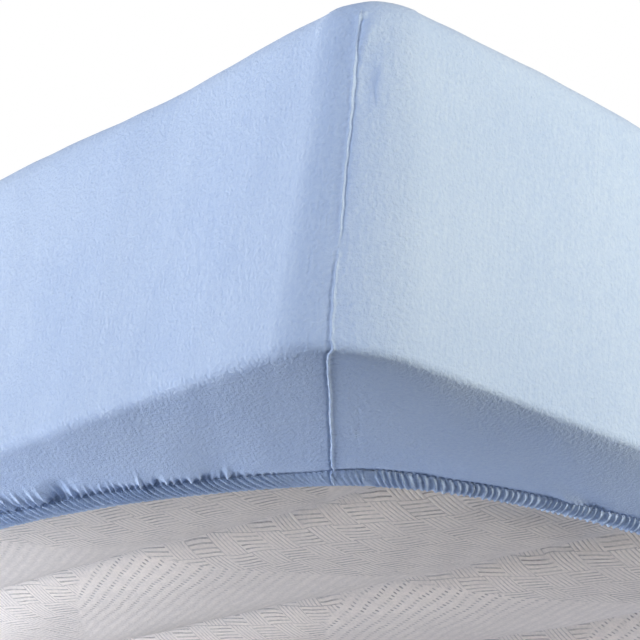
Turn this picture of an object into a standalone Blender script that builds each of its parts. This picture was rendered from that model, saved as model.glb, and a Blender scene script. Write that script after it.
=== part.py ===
"""A fitted sheet stretched over a single mattress, resting on its gathered hem.

The mattress is a rounded block of foam. The sheet is one thin shell of cloth: a flat top, four
side walls that turn under the mattress, and an elasticated hem all round, left open in the middle.
The sheet has a seam down each corner. X is the width, Y the length and Z is up. The foot end
faces -Y. The origin is under the middle of the bed, level with the underside of the hem.
"""

import math

import bpy

# Driving dimensions, in metres.
MATTRESS_WIDTH = 0.900
MATTRESS_LENGTH = 2.000
MATTRESS_HEIGHT = 0.200
UNDERSIDE_HEIGHT = 0.007  # the mattress's underside, held up by the thickness of the hem
CLOTH_THICKNESS = 0.0015
CLOTH_GAP = 0.0003  # between flat cloth and the mattress

# Roundness of the sheet's outside: across its long edges, and in plan at its corners.
TOP_EDGE_RADIUS = 0.022
BOTTOM_EDGE_RADIUS = 0.016
TOP_CORNER_RADIUS = 0.038
BOTTOM_CORNER_RADIUS = 0.055
EDGE_CLEARANCE_RADIUS = 0.004  # how much rounder the mattress is, so that cloth stands 2 mm off its edges
SMALLEST_CORNER_RADIUS = 0.006

# The tuck: how far in from the side the hem's inner edge runs, at a distance along from the corner.
# Each decay is an amount at the corner and the length over which it fades along the side.
END_TUCK = {"far_from_corner": 0.0308, "decays": ((0.1030, 0.170),)}
LONG_SIDE_TUCK = {"far_from_corner": 0.0440, "decays": ((0.0600, 0.250), (0.0325, 0.045))}
TUCK_CORNER_DISTANCE = 0.1400  # the hem's two lines meet this far in from both sides
TUCK_CORNER_SLOPE = 0.27  # how much each line leans back from square to the corner seam
TUCK_CORNER_ROUNDING = 0.014
TUCK_CORNER_REACH = 0.032  # along each side, the stretch of hem that the corner's columns take
TUCK_HEIGHT = UNDERSIDE_HEIGHT - CLOTH_GAP - CLOTH_THICKNESS
HEM_THICKNESS = 0.005  # the rolled casing with its elastic

# How many faces run round the sheet: across each corner, the two ends and the two long sides.
CORNER_STEPS = 6
END_STEPS = 14
LONG_SIDE_STEPS = 22
EDGE_ANGLES = (0, 30, 60, 90)  # degrees, across a rounded edge
SIDE_LEVELS = (0.70, 0.30)  # shares of the side's height
TOP_FIELD_INSETS = (0.120, 0.045)
TUCK_SHARES = (0.30, 0.60, 0.85)  # of the way from the bottom edge to the casing

SIDE_SWELL = 0.0030  # foam stands this far out, halfway up a side
SWELL_FLATNESS = 4  # the power that keeps the swell even along a side and takes it off at the corners
DIP_FADE_POWER = 6  # how fast an edge's dip fades down the side


def table(columns, *rows):
    """Rows of numbers as dictionaries, keyed by the names of their columns."""
    return [dict(zip(columns, row)) for row in rows]


# Each side's top edge sinks a little, at a share of the way along it.
END_EDGE_DIPS = table(
    ("share", "depth", "half_length"),
    (0.18, 0.0050, 0.095),
    (0.71, 0.0022, 0.150),
)
LONG_SIDE_EDGE_DIPS = table(
    ("share", "depth", "half_length"),
    (0.14, 0.0110, 0.150),
    (0.47, 0.0030, 0.260),
    (0.83, 0.0024, 0.160),
)

# The top also sinks a little round each corner.
CORNER_DIP_DEPTH = 0.0018
CORNER_DIP_HALF_LENGTH = 0.060

# Soft folds that run from the hem up under the side, as waves along it.
TUCK_FOLDS = table(
    ("wavelength", "depth", "phase"),
    (0.173, 0.0010, 0.4),
    (0.108, 0.0008, 2.1),
    (0.071, 0.0004, 4.4),
)

# The rolled casing's rows, each placed outwards from the hem's inner edge.
CASING_ROWS = table(
    ("outward", "height", "thickness"),
    (0.0105, TUCK_HEIGHT, CLOTH_THICKNESS),
    (0.0090, 0.0018, 0.0032),
    (0.0075, 0.0000, HEM_THICKNESS),
    (0.0025, 0.0000, HEM_THICKNESS),
    (0.0005, 0.0018, 0.0032),
)

SHEET_COLOUR = (0.47, 0.60, 0.82, 1.0)
TICKING_COLOUR = (0.42, 0.39, 0.37, 1.0)

OBJECT_NAME = "fitted sheet on a mattress"


def plan_columns():
    """Each column round the bed: the side or corner it is on and its share of the way along that.

    They run anticlockwise from the start of the corner between the foot end and the +X side.
    """
    columns = []
    for corner in range(4):
        for step in range(CORNER_STEPS):
            columns.append(("corner", corner, step / CORNER_STEPS))
        side_steps = LONG_SIDE_STEPS if corner % 2 == 0 else END_STEPS
        for step in range(side_steps):
            columns.append(("side", corner, step / side_steps))
    return columns


COLUMNS = plan_columns()
CORNER_SIGNS = ((1, -1), (1, 1), (-1, 1), (-1, -1))


def outline(half_width, half_length, radius):
    """Points of a rounded rectangle, one for each column, with the outward direction at each."""
    points = []
    for kind, corner, share in COLUMNS:
        sign_x, sign_y = CORNER_SIGNS[corner]
        centre_x = sign_x * (half_width - radius)
        centre_y = sign_y * (half_length - radius)
        turn = math.radians(90 * (corner - 1))
        if kind == "corner":
            angle = turn + share * math.pi / 2
            outward = (math.cos(angle), math.sin(angle))
            points.append((centre_x + radius * outward[0], centre_y + radius * outward[1], outward))
            continue
        outward = (math.cos(turn + math.pi / 2), math.sin(turn + math.pi / 2))
        next_x, next_y = CORNER_SIGNS[(corner + 1) % 4]
        run_x = next_x * (half_width - radius) - centre_x
        run_y = next_y * (half_length - radius) - centre_y
        points.append(
            (
                centre_x + radius * outward[0] + share * run_x,
                centre_y + radius * outward[1] + share * run_y,
                outward,
            )
        )
    return points


def swell_at(column):
    """How far a side stands out halfway up: even along it, and nothing at the corners."""
    kind, _, share = COLUMNS[column]
    if kind == "corner":
        return 0.0
    return SIDE_SWELL * (1 - abs(2 * share - 1) ** SWELL_FLATNESS)


def edge_dip_at(column):
    """How far the top edge sinks, as a sum of soft bell-shaped dips."""
    kind, corner, share = COLUMNS[column]
    if kind == "corner":
        return CORNER_DIP_DEPTH
    on_long_side = corner % 2 == 0
    length = MATTRESS_LENGTH if on_long_side else MATTRESS_WIDTH
    from_corner = min(share, 1 - share) * length
    total = CORNER_DIP_DEPTH * math.exp(-((from_corner / CORNER_DIP_HALF_LENGTH) ** 2))
    # Shares are counted from the corners (+X, -Y) and (-X, +Y), so that a half turn maps the bed on itself.
    along = share if on_long_side else 1 - share
    for dip in LONG_SIDE_EDGE_DIPS if on_long_side else END_EDGE_DIPS:
        away = (along - dip["share"]) * length / dip["half_length"]
        total += dip["depth"] * math.exp(-(away**2))
    return total


def level_at(height):
    """A height as a share of the mattress's, from 0 at its underside to 1 at its top."""
    return min(max((height - TUCK_HEIGHT) / MATTRESS_HEIGHT, 0.0), 1.0)


def section(inset, height, corner_radius, shrink):
    """One level ring of the bed's shape, drawn in from the sheet's side by inset, with its swell and dips.

    shrink is how far it lies inside the sheet's outside, so that both dip alike.
    """
    half_width = MATTRESS_WIDTH / 2 + CLOTH_GAP + CLOTH_THICKNESS - inset
    half_length = MATTRESS_LENGTH / 2 + CLOTH_GAP + CLOTH_THICKNESS - inset
    radius = max(corner_radius - inset, SMALLEST_CORNER_RADIUS)
    level = level_at(height)
    near_edge = max(0.0, 1 - (inset - shrink) / TOP_FIELD_INSETS[0])
    edge_share = near_edge * level_at(height + shrink) ** DIP_FADE_POWER
    ring = []
    for column, (x, y, outward) in enumerate(outline(half_width, half_length, radius)):
        swell = swell_at(column) * math.sin(math.pi * level)
        dip = edge_dip_at(column) * edge_share
        ring.append((x + swell * outward[0], y + swell * outward[1], height - dip))
    return ring


def corner_radius_at(height):
    """The plan radius of the sheet's corner, rounder towards the bottom."""
    return BOTTOM_CORNER_RADIUS + level_at(height) * (TOP_CORNER_RADIUS - BOTTOM_CORNER_RADIUS)


def wall_sections(shrink, extra_radius):
    """Rings from the flat top, over the edge, down the side and round the bottom edge.

    shrink is how far they lie inside the sheet's outside, and extra_radius rounds them more.
    """
    top = UNDERSIDE_HEIGHT + MATTRESS_HEIGHT + CLOTH_GAP + CLOTH_THICKNESS - shrink
    bottom = TUCK_HEIGHT + shrink
    top_radius = TOP_EDGE_RADIUS - shrink + extra_radius
    bottom_radius = BOTTOM_EDGE_RADIUS - shrink + extra_radius
    rows = [(inset + shrink, top) for inset in TOP_FIELD_INSETS]
    for degrees in EDGE_ANGLES:
        angle = math.radians(degrees)
        rows.append((shrink + top_radius * (1 - math.sin(angle)), top - top_radius * (1 - math.cos(angle))))
    low = bottom + bottom_radius
    high = top - top_radius
    for share in SIDE_LEVELS:
        rows.append((shrink, low + share * (high - low)))
    for degrees in EDGE_ANGLES:
        angle = math.radians(degrees)
        rows.append(
            (shrink + bottom_radius * (1 - math.cos(angle)), bottom + bottom_radius * (1 - math.sin(angle)))
        )
    return [section(inset, height, corner_radius_at(height) + extra_radius, shrink) for inset, height in rows]


def hem_inset(along, side_length, tuck):
    """How far in from its side the hem's inner edge runs, at a distance along from a corner."""
    inset = tuck["far_from_corner"]
    for amount, fade_length in tuck["decays"]:
        inset += amount * math.exp(-(along - TUCK_CORNER_DISTANCE) / fade_length)
        inset += amount * math.exp(-(side_length - along - TUCK_CORNER_DISTANCE) / fade_length)
    return inset


def hem_outline(outward):
    """The hem's line on the floor, moved outwards from the hem's inner edge, one point for each column.

    The columns close up towards each corner, where the line turns in a soft, mitred bend.
    """
    points = []
    for kind, corner, share in COLUMNS:
        before_seam = kind == "corner" and share < 0.5
        side = (corner + 3) % 4 if before_seam else corner
        side_length = MATTRESS_LENGTH if side % 2 == 0 else MATTRESS_WIDTH
        tuck = LONG_SIDE_TUCK if side % 2 == 0 else END_TUCK
        if kind == "corner":
            along = TUCK_CORNER_DISTANCE + 2 * abs(share - 0.5) * TUCK_CORNER_REACH
            from_start = not before_seam
        else:
            reach = side_length / 2 - TUCK_CORNER_DISTANCE - TUCK_CORNER_REACH
            along = side_length / 2 - abs(2 * share - 1) * reach
            from_start = share <= 0.5
        inset = hem_inset(along, side_length, tuck)
        across = abs(along - inset) / math.sqrt(2)
        lean = TUCK_CORNER_SLOPE * (math.hypot(across, TUCK_CORNER_ROUNDING) - across) / math.sqrt(2)
        nearness = 1 - abs(2 * share - 1) if kind == "corner" else 0.0
        mitre = nearness**2 * (3 - 2 * nearness)
        points.append(place_on_side(side, from_start, along + lean - outward * mitre, inset + lean - outward))
    return points


def place_on_side(side, from_start, along, inset):
    """The point this far along a side from its start, or from its end, and this far in from it."""
    start_x, start_y = CORNER_SIGNS[side]
    end_x, end_y = CORNER_SIGNS[(side + 1) % 4]
    from_x, from_y = (start_x, start_y) if from_start else (end_x, end_y)
    to_x, to_y = (end_x, end_y) if from_start else (start_x, start_y)
    half_width, half_length = MATTRESS_WIDTH / 2, MATTRESS_LENGTH / 2
    run_x, run_y = (to_x - from_x) / 2, (to_y - from_y) / 2
    outward_x = (start_x + end_x) / 2
    outward_y = (start_y + end_y) / 2
    return (
        from_x * half_width + run_x * along - outward_x * inset,
        from_y * half_length + run_y * along - outward_y * inset,
    )


def distance_round(column):
    """A distance round the bed, for waves that meet themselves after one turn."""
    kind, corner, share = COLUMNS[column]
    half_turn = MATTRESS_WIDTH + MATTRESS_LENGTH
    start = half_turn * (corner // 2) + (MATTRESS_LENGTH if corner % 2 else 0.0)
    if kind == "corner":
        return start
    return start + share * (MATTRESS_WIDTH if corner % 2 else MATTRESS_LENGTH)


def fold_at(column):
    """How far the tucked cloth hangs down in its soft folds, never above its own height."""
    distance = distance_round(column)
    turn = MATTRESS_WIDTH + MATTRESS_LENGTH
    total = 0.0
    for fold in TUCK_FOLDS:
        waves = round(turn / fold["wavelength"])
        wave = math.sin(2 * math.pi * waves * distance / turn + fold["phase"])
        total += fold["depth"] * (1 + wave) / 2
    return total


def tuck_sections(bottom_ring):
    """Rings from the bottom edge in to the hem's casing, with the height of each fold."""
    inner = hem_outline(CASING_ROWS[0]["outward"])
    rings = []
    for share in TUCK_SHARES:
        ring = []
        for column, ((outer_x, outer_y, _), (inner_x, inner_y)) in enumerate(zip(bottom_ring, inner)):
            sag = fold_at(column) * math.sin(math.pi * share / 2) ** 2
            ring.append(
                (
                    outer_x + share * (inner_x - outer_x),
                    outer_y + share * (inner_y - outer_y),
                    TUCK_HEIGHT - sag,
                )
            )
        rings.append(ring)
    return rings


def casing_sections():
    """Rings of the rolled hem: it steps down from the tucked cloth, lies flat and rolls up again."""
    return [[(x, y, row["height"]) for x, y in hem_outline(row["outward"])] for row in CASING_ROWS]


def ring_mesh(name, rings, cap_bottom):
    """A loft through rings of equal count, closed at the top, and at the bottom if cap_bottom is set."""
    count = len(COLUMNS)
    vertices = [point for ring in rings for point in ring]
    faces = [tuple(range(count))]
    for row in range(len(rings) - 1):
        for column in range(count):
            after = (column + 1) % count
            upper, lower = row * count, (row + 1) * count
            faces.append((upper + column, lower + column, lower + after, upper + after))
    if cap_bottom:
        last = (len(rings) - 1) * count
        faces.append(tuple(last + column for column in reversed(range(count))))
    mesh = bpy.data.meshes.new(name)
    mesh.from_pydata(vertices, [], faces)
    mesh.validate()
    mesh.shade_smooth()
    return mesh


def material(name, colour, roughness):
    made = bpy.data.materials.new(name)
    made.use_nodes = True
    shader = made.node_tree.nodes["Principled BSDF"]
    shader.inputs["Base Color"].default_value = colour
    shader.inputs["Roughness"].default_value = roughness
    shader.inputs["Metallic"].default_value = 0.0
    return made


def sheet_cloth():
    return material("light blue cotton jersey", SHEET_COLOUR, 0.9)


def mattress_ticking():
    return material("beige knitted ticking", TICKING_COLOUR, 0.95)


def add_object(collection, name, mesh, finish):
    mesh.materials.append(finish)
    made = bpy.data.objects.new(name, mesh)
    collection.objects.link(made)
    return made


def add_mattress(collection):
    """The foam block in its ticking, with flat top and underside and rounded edges."""
    rings = wall_sections(CLOTH_THICKNESS + CLOTH_GAP, EDGE_CLEARANCE_RADIUS)
    mesh = ring_mesh("mattress", rings, cap_bottom=True)
    return add_object(collection, "mattress", mesh, mattress_ticking())


def add_fitted_sheet(collection):
    """The sheet's outside as one open surface, given its thickness inwards, thicker at the hem."""
    walls = wall_sections(0.0, 0.0)
    tucks = tuck_sections(walls[-1])
    casing = casing_sections()
    mesh = ring_mesh("fitted_sheet", walls + tucks + casing, cap_bottom=False)
    sheet = add_object(collection, "fitted_sheet", mesh, sheet_cloth())
    thickness = sheet.vertex_groups.new(name="thickness")
    cloth_vertices = list(range(len(COLUMNS) * (len(walls) + len(tucks))))
    thickness.add(cloth_vertices, CLOTH_THICKNESS / HEM_THICKNESS, "REPLACE")
    first = len(cloth_vertices)
    for row in CASING_ROWS:
        thickness.add(list(range(first, first + len(COLUMNS))), row["thickness"] / HEM_THICKNESS, "REPLACE")
        first += len(COLUMNS)
    shell = sheet.modifiers.new("cloth thickness", "SOLIDIFY")
    shell.thickness = HEM_THICKNESS
    shell.offset = -1.0
    shell.vertex_group = thickness.name
    return sheet


def main():
    for item in list(bpy.data.objects):
        bpy.data.objects.remove(item)
    collection = bpy.data.collections.new(OBJECT_NAME)
    bpy.context.scene.collection.children.link(collection)
    add_mattress(collection)
    add_fitted_sheet(collection)


main()
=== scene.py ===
import math

import bpy
import numpy as np
from mathutils import Matrix, Vector


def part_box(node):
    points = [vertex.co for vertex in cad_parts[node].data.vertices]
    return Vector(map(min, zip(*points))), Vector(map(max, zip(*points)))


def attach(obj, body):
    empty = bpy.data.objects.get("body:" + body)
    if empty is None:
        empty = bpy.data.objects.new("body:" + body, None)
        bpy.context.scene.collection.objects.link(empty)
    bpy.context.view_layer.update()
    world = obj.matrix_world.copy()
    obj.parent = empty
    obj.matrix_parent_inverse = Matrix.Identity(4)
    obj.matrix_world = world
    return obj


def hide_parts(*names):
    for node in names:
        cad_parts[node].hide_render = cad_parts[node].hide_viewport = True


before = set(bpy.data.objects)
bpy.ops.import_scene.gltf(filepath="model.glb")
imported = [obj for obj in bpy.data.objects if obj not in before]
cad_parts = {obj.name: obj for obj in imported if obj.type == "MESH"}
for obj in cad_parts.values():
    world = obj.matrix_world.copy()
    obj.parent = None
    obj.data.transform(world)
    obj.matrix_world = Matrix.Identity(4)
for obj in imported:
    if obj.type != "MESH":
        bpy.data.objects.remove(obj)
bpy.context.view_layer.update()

mattressLow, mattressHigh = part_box("mattress")
millimetre = 0.001

# the bed's own shape, in metres, as the frame has it
bed = {
    "sideSwell": 0.0030,
    "frameSwell": 0.00265,  # what the frame's coarser sides show of it
    "swellFlatness": 4,
    "gap": 0.0003,
    "cloth": 0.0015,
    "topEdge": 0.022,
    "topCorner": 0.038,
    "bottomCorner": 0.055,
    "middleCorner": 0.046,  # the radius halfway down
    "smallestCorner": 0.0005,
    "dipReach": 0.120,
    "dipFade": 6,
}
bed["halfWidth"] = mattressHigh.x - bed["frameSwell"]
bed["halfLength"] = mattressHigh.y - bed["frameSwell"]
bed["underside"] = mattressLow.z
bed["height"] = mattressHigh.z - mattressLow.z
bed["stand"] = bed["gap"] + bed["cloth"]  # how far the sheet's outside stands off the mattress
bed["tuckHeight"] = bed["underside"] - bed["stand"]
bed["top"] = mattressHigh.z + bed["stand"]

# bottom edges: where the cloth turns under, crisper on the long sides, and the slope inwards from there
bottomEdge = {
    "end": 0.0080,
    "long": 0.0042,
    "height": 0.0125,
    "slopeDegrees": 19,
    "slopeReach": 0.022,
    "straightShare": 0.6,
}
bottomEdge["turn"] = math.radians(90 - bottomEdge["slopeDegrees"])

# (share of the side, depth, half length) of each soft dip in a top edge
edgeDips = {
    "end": ((0.18, 0.0050, 0.095), (0.71, 0.0022, 0.150)),
    "long": ((0.14, 0.0110, 0.150), (0.47, 0.0030, 0.260), (0.83, 0.0024, 0.160)),
    "corner": (0.0018, 0.060),  # depth and half length of the sink round each corner
}

# the tuck: how far in from the side the hem's inner edge runs, as a constant plus (amount, decay) terms
tuck = {
    "end": (0.0308, ((0.1030, 0.170),)),
    "long": (0.0440, ((0.0600, 0.250), (0.0325, 0.045))),
    "cornerDistance": 0.1400,
    "cornerSlope": 0.27,
    "cornerRounding": 0.014,
    "cornerReach": 0.032,
    "stitchLine": 0.0105,  # outwards from the hem's inner edge to the stitches
}

# the tuck's height above the stitches before it drops to them, and over what distance it drops
tuckDrop = {
    "end": {"height": 0.0058, "reach": 0.0056},
    "long": {"height": 0.0050, "reach": 0.0062},
    "fade": 1.6,
    "settled": 0.15,  # the share of the tuck over which the drop comes in
    "sagFree": 0.012,  # how far from the stitches the folds' sag is full
}

# soft folds across the tuck: (wavelength, depth, phase)
tuckFolds = ((0.173, 0.0010, 0.4), (0.108, 0.0008, 2.1), (0.071, 0.0004, 4.4))

# how far round each corner its seam lies, from the end's side, at the top, the bottom edge and the hem
seamShares = {"top": 0.355, "bottomEdge": 0.47, "hem": 0.26, "wallRows": (1.0, 3.6), "hemRows": (3.3, 5.6)}

cornerSigns = np.array([(1, -1), (1, 1), (-1, 1), (-1, -1)], float)
sidesRound = 8.0  # the way round counts 1 for each corner and 1 for each side
cornerSeams = np.array([0.5, 2.5, 4.5, 6.5])  # the corner seams' places in that count


def say(text):
    print("scene:", text)


def smoothStep(low, high, value):
    # 0 below low, 1 above high, and between them 3 t^2 - 2 t^3
    t = np.clip((value - low) / (high - low), 0.0, 1.0)
    return t * t * (3 - 2 * t)


def bell(distance, width):
    # e to the minus square of the distance over the width
    return np.exp(-((distance / width) ** 2))


def runningSum(steps):
    # the sum so far before each step and after the last
    return np.concatenate([[0.0], np.cumsum(steps)])


def unitVectors(vectors, least=1e-15):
    # each vector over its length, and straight up where it has none
    size = np.linalg.norm(vectors, axis=-1, keepdims=True)
    return np.where(size > least, vectors / np.maximum(size, least), np.array([0.0, 0.0, 1.0]))


def partsOfWay(way):
    # a place's corner, whether it is on the side after that corner, and its share of the way along either
    turned = np.mod(way, sidesRound)
    corner = np.minimum(np.floor(turned / 2), 3).astype(int)
    onSide = np.mod(np.floor(turned), 2) == 1
    return corner, onSide, turned - np.floor(turned)


def seamShareAt(rows):
    # the seam's share of its corner down the wall: top to bottom edge in a line, then a curve in to the hem
    firstRow, lastRow = seamShares["wallRows"]
    down = np.clip((rows - firstRow) / (lastRow - firstRow), 0.0, 1.0)
    inward = smoothStep(*seamShares["hemRows"], rows)
    share = seamShares["top"] + down * (seamShares["bottomEdge"] - seamShares["top"])
    return share + inward * (seamShares["hem"] - share)


def leanShares(way, rows):
    # moves a corner's columns so that its middle one follows the seam: share ** (log(seam) / log(1/2))
    corner, onSide, share = partsOfWay(way)
    power = np.log(seamShareAt(rows)) / math.log(0.5)
    fromEnd = np.where(corner % 2 == 0, share, 1 - share)
    leaned = np.power(np.clip(fromEnd, 1e-9, 1), power)
    leaned = np.where(corner % 2 == 0, leaned, 1 - leaned)
    return corner, onSide, np.where(onSide, share, leaned)


def outlineAt(corner, onSide, share, halfWidth, halfLength, radius):
    # a rounded rectangle: an arc about each corner's centre, then a straight run to the next arc
    signX, signY = cornerSigns[corner, 0], cornerSigns[corner, 1]
    nextSigns = cornerSigns[(corner + 1) % 4]
    angle = (corner - 1) * math.pi / 2 + np.where(onSide, 1.0, share) * math.pi / 2
    run = np.where(onSide, share, 0.0)
    acrossX = signX + run * (nextSigns[..., 0] - signX)
    acrossY = signY + run * (nextSigns[..., 1] - signY)
    x = acrossX * (halfWidth - radius) + radius * np.cos(angle)
    y = acrossY * (halfLength - radius) + radius * np.sin(angle)
    return x, y, np.cos(angle), np.sin(angle)


def hemInset(along, sideLength, kind):
    # the hem's line draws out towards the corners: a constant plus decays from either corner
    inset, terms = tuck[kind]
    for amount, decay in terms:
        inset = inset + amount * np.exp(-(along - tuck["cornerDistance"]) / decay)
        inset = inset + amount * np.exp(-(sideLength - along - tuck["cornerDistance"]) / decay)
    return inset


def hemLineAt(corner, onSide, share, outward):
    # the hem's line in plan, moved outwards, with a soft bend at each corner
    beforeSeam = ~onSide & (share < 0.5)
    side = np.where(beforeSeam, (corner + 3) % 4, corner)
    sideLength = 2 * np.where(side % 2 == 0, bed["halfLength"], bed["halfWidth"])
    nearCorner = tuck["cornerDistance"] + 2 * np.abs(share - 0.5) * tuck["cornerReach"]
    reach = sideLength / 2 - tuck["cornerDistance"] - tuck["cornerReach"]
    alongSide = sideLength / 2 - np.abs(2 * share - 1) * reach
    along = np.where(onSide, alongSide, nearCorner)
    fromStart = np.where(onSide, share <= 0.5, ~beforeSeam)
    onLong = side % 2 == 0
    inset = np.where(onLong, hemInset(along, sideLength, "long"), hemInset(along, sideLength, "end"))
    across = np.abs(along - inset) / math.sqrt(2)
    lean = tuck["cornerSlope"] * (np.hypot(across, tuck["cornerRounding"]) - across) / math.sqrt(2)
    mitre = np.where(onSide, 0.0, smoothStep(1.0, 0.0, np.abs(2 * share - 1)))
    along = along + lean - outward * mitre
    inset = inset + lean - outward
    start = cornerSigns[side]
    end = cornerSigns[(side + 1) % 4]
    nearSigns = np.where(fromStart[..., None], start, end)
    farSigns = np.where(fromStart[..., None], end, start)
    run = (farSigns - nearSigns) / 2
    out = (start + end) / 2
    x = nearSigns[..., 0] * bed["halfWidth"] + run[..., 0] * along - out[..., 0] * inset
    y = nearSigns[..., 1] * bed["halfLength"] + run[..., 1] * along - out[..., 1] * inset
    return x, y


# distances along the hem and along the bed's side, tabled once at fine steps round the bed
wayTable = np.linspace(0.0, sidesRound, 64001)


def tableRound(x, y):
    # the running length of a closed line through these points
    return runningSum(np.hypot(np.diff(x), np.diff(y)))


tableParts = leanShares(wayTable, np.full_like(wayTable, 5.0))
hemTable = tableRound(*hemLineAt(*tableParts, tuck["stitchLine"]))
hemLength = hemTable[-1]
sideParts = leanShares(wayTable, np.full_like(wayTable, 2.5))
sideTable = tableRound(*outlineAt(*sideParts, bed["halfWidth"], bed["halfLength"], bed["middleCorner"])[:2])
sideLengthRound = sideTable[-1]


def hemDistance(way):
    return np.interp(np.mod(way, sidesRound), wayTable, hemTable)


def sideDistance(way):
    return np.interp(np.mod(way, sidesRound), wayTable, sideTable)


def shortWay(difference):
    # the shorter of the two ways round the hem between places this far apart
    return np.abs(np.mod(difference + hemLength / 2, hemLength) - hemLength / 2)


def seamDistance(way):
    # distance along the hem to the nearest corner seam, and whether that stretch is on a long side
    gaps = shortWay(hemDistance(way)[..., None] - hemDistance(cornerSeams))
    turned = np.mod(way - 0.5, sidesRound)
    onLong = np.mod(np.floor(turned / 2), 2) == 0
    return gaps.min(axis=-1), onLong


def wavesRound(distance, length, waves):
    # a sum of sines that close after one turn: (wavelength, depth, phase) each
    total = 0.0
    for wavelength, depth, phase in waves:
        turns = max(1, round(length / wavelength))
        total = total + depth * np.sin(2 * np.pi * turns * distance / length + phase)
    return total


# the rolled casing's section is a flattened ellipse, sheared so that its inner side hangs lower
casing = {
    "middle": 0.0056,  # outwards from the hem's inner edge
    "height": 0.0039,
    "halfWidth": 0.0058,
    "halfHeight": 0.0022,
    "shear": 0.30,
    "squareness": 0.86,  # 1 would be a true ellipse
    "startAngle": math.radians(-6),
    "endAngle": math.radians(250),
    "length": 0.0185,
    "shown": 0.0100,  # how much of that length faces down
}


def casingSection(angle):
    # outward distance and height: cosine and sine, each to the power of the squareness, then the shear
    cosine, sine = np.cos(angle), np.sin(angle)
    out = casing["halfWidth"] * np.sign(cosine) * np.abs(cosine) ** casing["squareness"]
    down = casing["halfHeight"] * np.sign(sine) * np.abs(sine) ** casing["squareness"]
    return casing["middle"] + out, casing["height"] - down + casing["shear"] * out


def longShareAt(way):
    # 0 on the ends and 1 on the long sides, changing over smoothly round each corner
    corner, onSide, share = partsOfWay(way)
    towardsNext = np.where(onSide, 1.0, smoothStep(0.15, 0.85, share))
    return np.where(corner % 2 == 0, towardsNext, 1 - towardsNext)


def byKind(way, table, key=None):
    # a value that is one thing on the ends and another on the long sides
    ends, longs = (table[kind] if key is None else table[kind][key] for kind in ("end", "long"))
    return ends + longShareAt(way) * (longs - ends)


def wallParts(rows):
    # how much of the top, its edge, the side, the bottom edge, the tuck and the casing a row has passed
    return [np.clip(rows - step, 0.0, 1.0) for step in range(6)]


def sideWall(way, rows, shrink, extraRadius):
    # the wall by rows: 0 to 1 across the top, 2 its edge's arc, 3 down the side, 4 the bottom edge's arc
    inTop, inEdge, inSide, inBottom, _, _ = wallParts(rows)
    edgeRadius = bed["topEdge"] - shrink + extraRadius
    lowRadius = byKind(way, bottomEdge) - shrink + extraRadius
    top = bed["top"] - shrink
    bottom = bottomEdge["height"] + shrink
    outer = bed["halfWidth"] + bed["stand"]
    inset = shrink + (outer - shrink) * (1 - inTop) + edgeRadius * inTop
    inset = inset - edgeRadius * np.sin(inEdge * np.pi / 2)
    inset = inset + lowRadius * (1 - np.cos(inBottom * bottomEdge["turn"]))
    height = top - edgeRadius * (1 - np.cos(inEdge * np.pi / 2))
    height = height - inSide * (top - edgeRadius - bottom - lowRadius * math.sin(bottomEdge["turn"]))
    height = height - lowRadius * np.sin(inBottom * bottomEdge["turn"])
    level = np.clip((height - bed["tuckHeight"]) / bed["height"], 0.0, 1.0)
    halfWidth = bed["halfWidth"] + bed["stand"] - inset
    halfLength = bed["halfLength"] + bed["stand"] - inset
    radius = bed["bottomCorner"] + level * (bed["topCorner"] - bed["bottomCorner"]) + extraRadius - inset
    radius = np.minimum(np.maximum(radius, bed["smallestCorner"]), np.maximum(halfWidth, 0.0))
    corner, onSide, share = leanShares(way, rows)
    x, y, outX, outY = outlineAt(corner, onSide, share, halfWidth, halfLength, radius)
    along = np.where(onSide, share, 0.0)
    swell = bed["sideSwell"] * (1 - np.abs(2 * along - 1) ** bed["swellFlatness"])
    swell = swell * np.where(onSide, np.sin(np.pi * level), 0.0)
    fade = np.clip(1 - inset / bed["dipReach"], 0, 1) * level ** bed["dipFade"]
    return x + swell * outX, y + swell * outY, height - edgeDipAt(corner, onSide, share) * fade, outX, outY


def edgeDipAt(corner, onSide, share):
    # how far a top edge sinks: bell-shaped dips at their shares of each side
    depth, halfLength = edgeDips["corner"]
    sideLength = 2 * np.where(corner % 2 == 0, bed["halfLength"], bed["halfWidth"])
    fromCorner = np.where(onSide, np.minimum(share, 1 - share) * sideLength, 0.0)
    total = depth * bell(fromCorner, halfLength)
    for kind, parity, length in (("long", 0, bed["halfLength"]), ("end", 1, bed["halfWidth"])):
        along = share if kind == "long" else 1 - share
        for place, depth, halfLength in edgeDips[kind]:
            dip = depth * bell((along - place) * 2 * length, halfLength)
            total = total + np.where(onSide & (corner % 2 == parity), dip, 0.0)
    return total


def tuckSlope(fromEdge, width):
    # the share of the bottom edge's height left further in: part decays, the rest falls in a straight line
    left = np.exp(-fromEdge / bottomEdge["slopeReach"])
    atHem = np.exp(-width / bottomEdge["slopeReach"])
    decayed = (left - atHem) / (1 - atHem)
    straight = 1 - fromEdge / np.maximum(width, 1e-9)
    return decayed + bottomEdge["straightShare"] * (straight - decayed)


def tuckSag(way):
    # how far the tucked cloth hangs in its soft folds, never above its own height
    corner, onSide, share = partsOfWay(way)
    turn = 2 * (bed["halfWidth"] + bed["halfLength"])
    start = turn * (corner // 2) + np.where(corner % 2 == 1, 2 * bed["halfLength"], 0.0)
    length = 2 * np.where(corner % 2 == 1, bed["halfWidth"], bed["halfLength"])
    distance = start + np.where(onSide, share, 0.0) * length
    total = 0.0
    for wavelength, depth, phase in tuckFolds:
        turns = round(turn / wavelength)
        total = total + depth * (1 + np.sin(2 * np.pi * turns * distance / turn + phase)) / 2
    return total


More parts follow.
